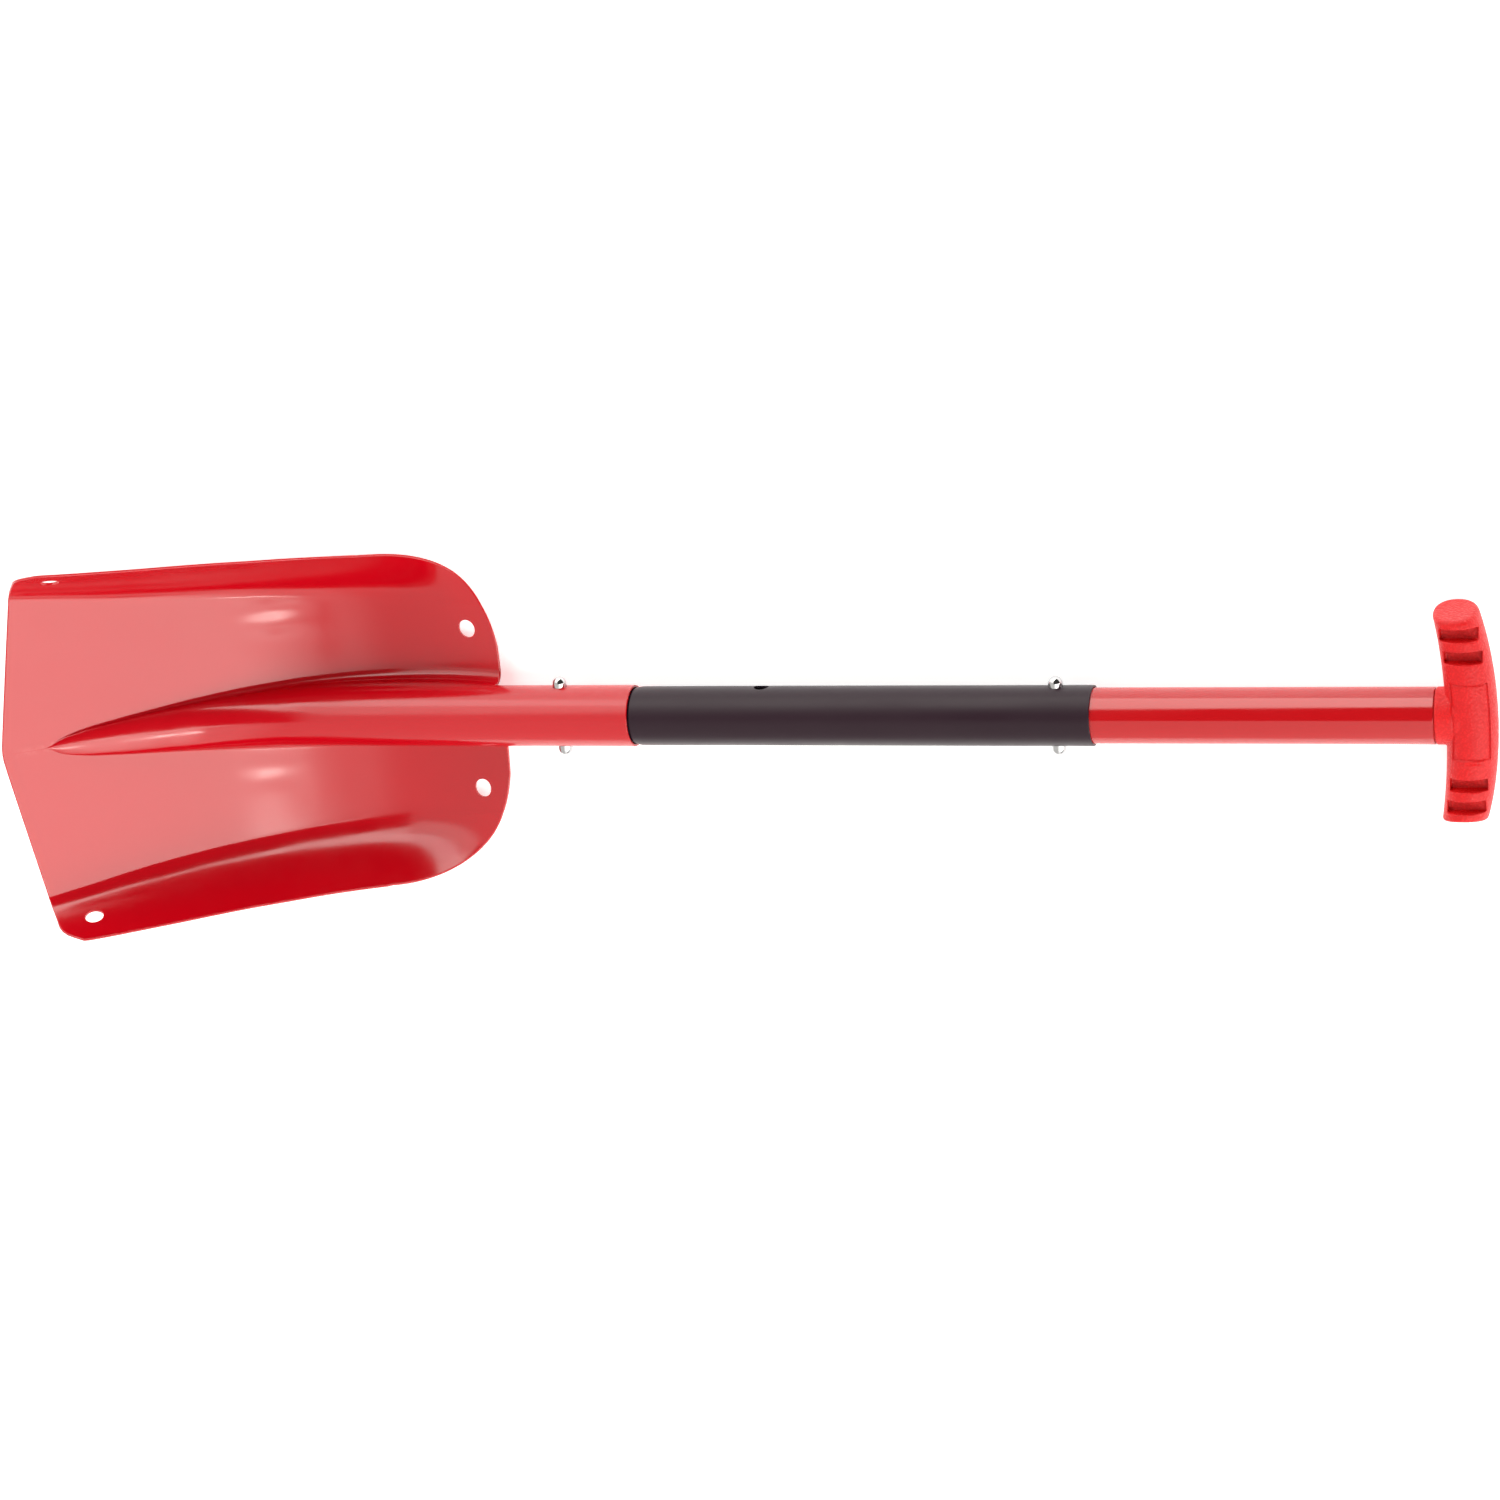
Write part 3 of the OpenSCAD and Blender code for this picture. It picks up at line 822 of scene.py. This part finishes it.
def grip_mesh():
    ts = np.concatenate([[-1, -0.997, -0.988, -0.975, -0.955], np.linspace(-0.93, 0.93, 61), [0.955, 0.975, 0.988, 0.997, 1]])
    ring = 96
    vs = []
    for t in ts:
        e = abs(t)
        k = 1.0 if e < 0.955 else (0.86 + 0.14 * math.sqrt(max(0, 1 - ((e - 0.955) / 0.045) ** 2)))
        for i in range(ring):
            a = 2 * math.pi * i / ring
            c, s = math.cos(a), math.sin(a)
            y0 = t * GH
            z = GB * k * math.copysign(abs(s) ** 0.92, s)
            x = bar_x(y0) + bar_a(y0) * k * math.copysign(abs(c) ** 0.90, c)
            y = t * (GH - 0.5 - 0.18 * (z + GB) * e ** 3)
            vs.append((x, y, z))
    n = len(ts)
    fs = [(k * ring + i, k * ring + (i + 1) % ring, (k + 1) * ring + (i + 1) % ring, (k + 1) * ring + i)
          for k in range(n - 1) for i in range(ring)]
    fs += [tuple(range(ring)), tuple(range((n - 1) * ring, n * ring))]
    return mesh_object("grip", vs, fs, m_grip)


grip = grip_mesh()
boss = lathe("boss", [(han_hi[0] + 0.35, 11.3), (han_hi[0] + 0.35, HAN_R - 0.3), (han_hi[0] + 0.8, HAN_R - 0.02),
                      (GRIP_X - 4, HAN_R - 0.02), (GRIP_X - 2, 11.3)], m_grip, seg=96)
boolean(grip, [boss], "UNION")
pockets = []
for y in (-45.5, -33.7, 33.7, 45.5):
    pockets.append(block((bar_x(y) - 9.6, y - 3.3, GB - 9), (bar_x(y) + 9.6, y + 3.3, GB + 6)))
boolean(grip, pockets)
hollow = lathe("hollow", [(han_hi[0] - 4, 0.01), (han_hi[0] - 4, 11.2), (han_hi[0] + 2, 11.2), (han_hi[0] + 2, 0.01)],
               m_grip, seg=64)
boolean(grip, [hollow])
md = grip.modifiers.new("remesh", "REMESH")
md.mode = "VOXEL"
md.voxel_size = 0.00046
md.adaptivity = 0.0
md.use_smooth_shade = True
md = grip.modifiers.new("soften", "SMOOTH")
md.factor = 0.5
md.iterations = 4
bake(grip)
me = grip.data
co = np.empty(len(me.vertices) * 3)
me.vertices.foreach_get("co", co)
co = co.reshape(-1, 3) / MM
rx = co[:, 0] - bar_x(co[:, 1]) - 0.6
above = smoothstep((co[:, 2] - 6) / 2)


def pad(u, half, soft=0.30):
    return smoothstep((half - np.abs(u)) / soft + 0.5)


plaque = pad(rx, 8.6) * pad(co[:, 1], 19.2) * above
rim = (pad(rx, 9.5) * pad(co[:, 1], 20.1) * above) - pad(rx, 8.6) * pad(co[:, 1], 19.2) * above
lip = np.exp(-((rx / 6.5) ** 4)) * np.exp(-(((co[:, 1] + 22.6 + 0.02 * rx ** 2) / 0.8) ** 2)) * above
co[:, 2] += -0.55 * plaque - 1.0 * np.clip(rim, 0, 1) + 0.55 * lip
me.vertices.foreach_set("co", (co * MM).ravel())
me.update()
me.polygons.foreach_set("use_smooth", np.ones(len(me.polygons), bool))
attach(grip, "handle")
grip.name = "grip_body"

# the grip's spigot inside the handle tube, with the rivet's hole left out of sight
spigot = lathe("grip_spigot", [(han_hi[0] - 26, HAN_R - 3.8), (han_hi[0] - 26, HAN_R - 1.9), (han_hi[0] - 25, HAN_R - 1.26),
                               (han_hi[0] + 1.5, HAN_R - 1.26), (han_hi[0] + 1.5, HAN_R - 3.8)], m_grip, seg=96)
radial_normals(spigot)
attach(spigot, "handle")
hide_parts("t_grip")

# -------------------------------------------------------- floor and light
def lowest(ob):
    c = np.empty(len(ob.data.vertices) * 3)
    ob.data.vertices.foreach_get("co", c)
    c = c.reshape(-1, 3)
    return c[c[:, 2].argmin()]


a, b = lowest(sheet), lowest(grip)
tilt = (b[2] - a[2]) / (b[0] - a[0])
me = bpy.data.meshes.new("floor")
ring = [(math.cos(2 * math.pi * k / 64) * 30, math.sin(2 * math.pi * k / 64) * 30) for k in range(64)]
me.from_pydata([(0, 0, a[2] - tilt * a[0] - 0.0003)] + [(x, y, a[2] + tilt * (x - a[0]) - 0.0003) for x, y in ring], [],
               [(0, 1 + k, 1 + (k + 1) % 64) for k in range(64)])
me.materials.append(floor_material())
floor = bpy.data.objects.new("floor", me)
scene.collection.objects.link(floor)

world = bpy.data.worlds.new("studio")
scene.world = world
world.use_nodes = True
world.node_tree.nodes.clear()
g = Graph(world.node_tree)
sep = g.add("ShaderNodeSeparateXYZ")
g.link(g.add("ShaderNodeTexCoord").outputs["Generated"], sep.inputs[0])
dx, dy, dz = sep.outputs


def towards(x, y, z):
    """Cosine between the direction looked in and the one given."""
    n = g.add("ShaderNodeVectorMath", operation="DOT_PRODUCT")
    g.link(sep.inputs[0].links[0].from_socket, n.inputs[0])
    n.inputs[1].default_value = Vector((x, y, z)).normalized()
    return n.outputs["Value"]


def times(*values):
    out = values[0]
    for v in values[1:]:
        out = g.math("MULTIPLY", out, v)
    return out


angle = g.math("MULTIPLY", g.math("ARCTAN2", dy, dz), 180 / math.pi)   # from the zenith, towards +Y
# a tall panel at the blade's far end, a long one on the +Y side, and a dark space between the two
end_panel = times(g.ramp(dx, 0.05, 0.55), g.ramp(angle, -68, -60), g.ramp(angle, -5, -8))
low_end = times(g.ramp(dx, 0.15, 0.4), g.ramp(angle, -60, -68), g.ramp(angle, -140, -100))
side_panel = times(g.ramp(towards(-0.865, 0.250, -0.434), -0.01, 0.04), g.ramp(dz, -0.02, 0.03), g.ramp(dy, 0.15, 0.4), g.ramp(dx, 0.34, 0.18),
                   g.ramp(dx, -0.32, -0.22, 0.38, 1.0))
edge_strip = times(g.ramp(angle, -11, -8.5), g.ramp(angle, -4.5, -7), g.ramp(dx, -0.05, 0.12))
dark = times(g.ramp(angle, -8, -5), g.math("SUBTRACT", 1.0, side_panel), g.ramp(angle, 100, 92), g.ramp(dz, 0.0, 0.12),
             g.ramp(dx, -0.31, -0.21))
lamp = times(g.ramp(angle, -26, -24.5), g.ramp(angle, -19.5, -21), g.ramp(dx, 0.17, 0.23), g.ramp(dx, 0.46, 0.40))
spot = times(g.ramp(angle, -14, -12), g.ramp(angle, -9, -11), g.ramp(dx, 0.02, 0.06), g.ramp(dx, 0.16, 0.12))
level = g.math("ADD", 1.55, g.math("MULTIPLY", end_panel, 2.2))
level = g.math("MULTIPLY", level, g.math("SUBTRACT", 1.0, g.math("MULTIPLY", low_end, 0.8)))
level = g.math("MULTIPLY", level, g.ramp(dx, -0.02, -0.20, 1.0, 0.58))
level = g.math("MULTIPLY", level, g.math("SUBTRACT", 1.0, g.math("MULTIPLY", spot, 0.9)))
level = g.math("ADD", level, g.math("MULTIPLY", edge_strip, 3.2))
level = g.math("MULTIPLY", level, g.math("SUBTRACT", 1.0, g.math("MULTIPLY", dark, 0.96)))
level = g.math("ADD", level, g.math("MULTIPLY", side_panel, 3.0))
level = g.math("ADD", level, g.math("MULTIPLY", lamp, 12.0))
bg = g.add("ShaderNodeBackground", Color=(1, 0.985, 0.93, 1))
g.link(level, bg.inputs["Strength"])
wo = g.add("ShaderNodeOutputWorld")
g.link(bg.outputs[0], wo.inputs["Surface"])


def soft_lamp(name, direction, distance, size, power):
    d = Vector(direction).normalized()
    ld = bpy.data.lights.new(name, "AREA")
    ld.shape = "SQUARE"
    ld.size = size
    ld.energy = power
    ob = bpy.data.objects.new(name, ld)
    ob.location = Vector((-0.25, 0, 0)) + d * distance
    ob.rotation_euler = d.to_track_quat("Z", "Y").to_euler()
    scene.collection.objects.link(ob)
    ob.visible_camera = False
    return ob


soft_lamp("side_softbox", (-0.45, 0.80, 0.40), 3.0, 1.2, 6)
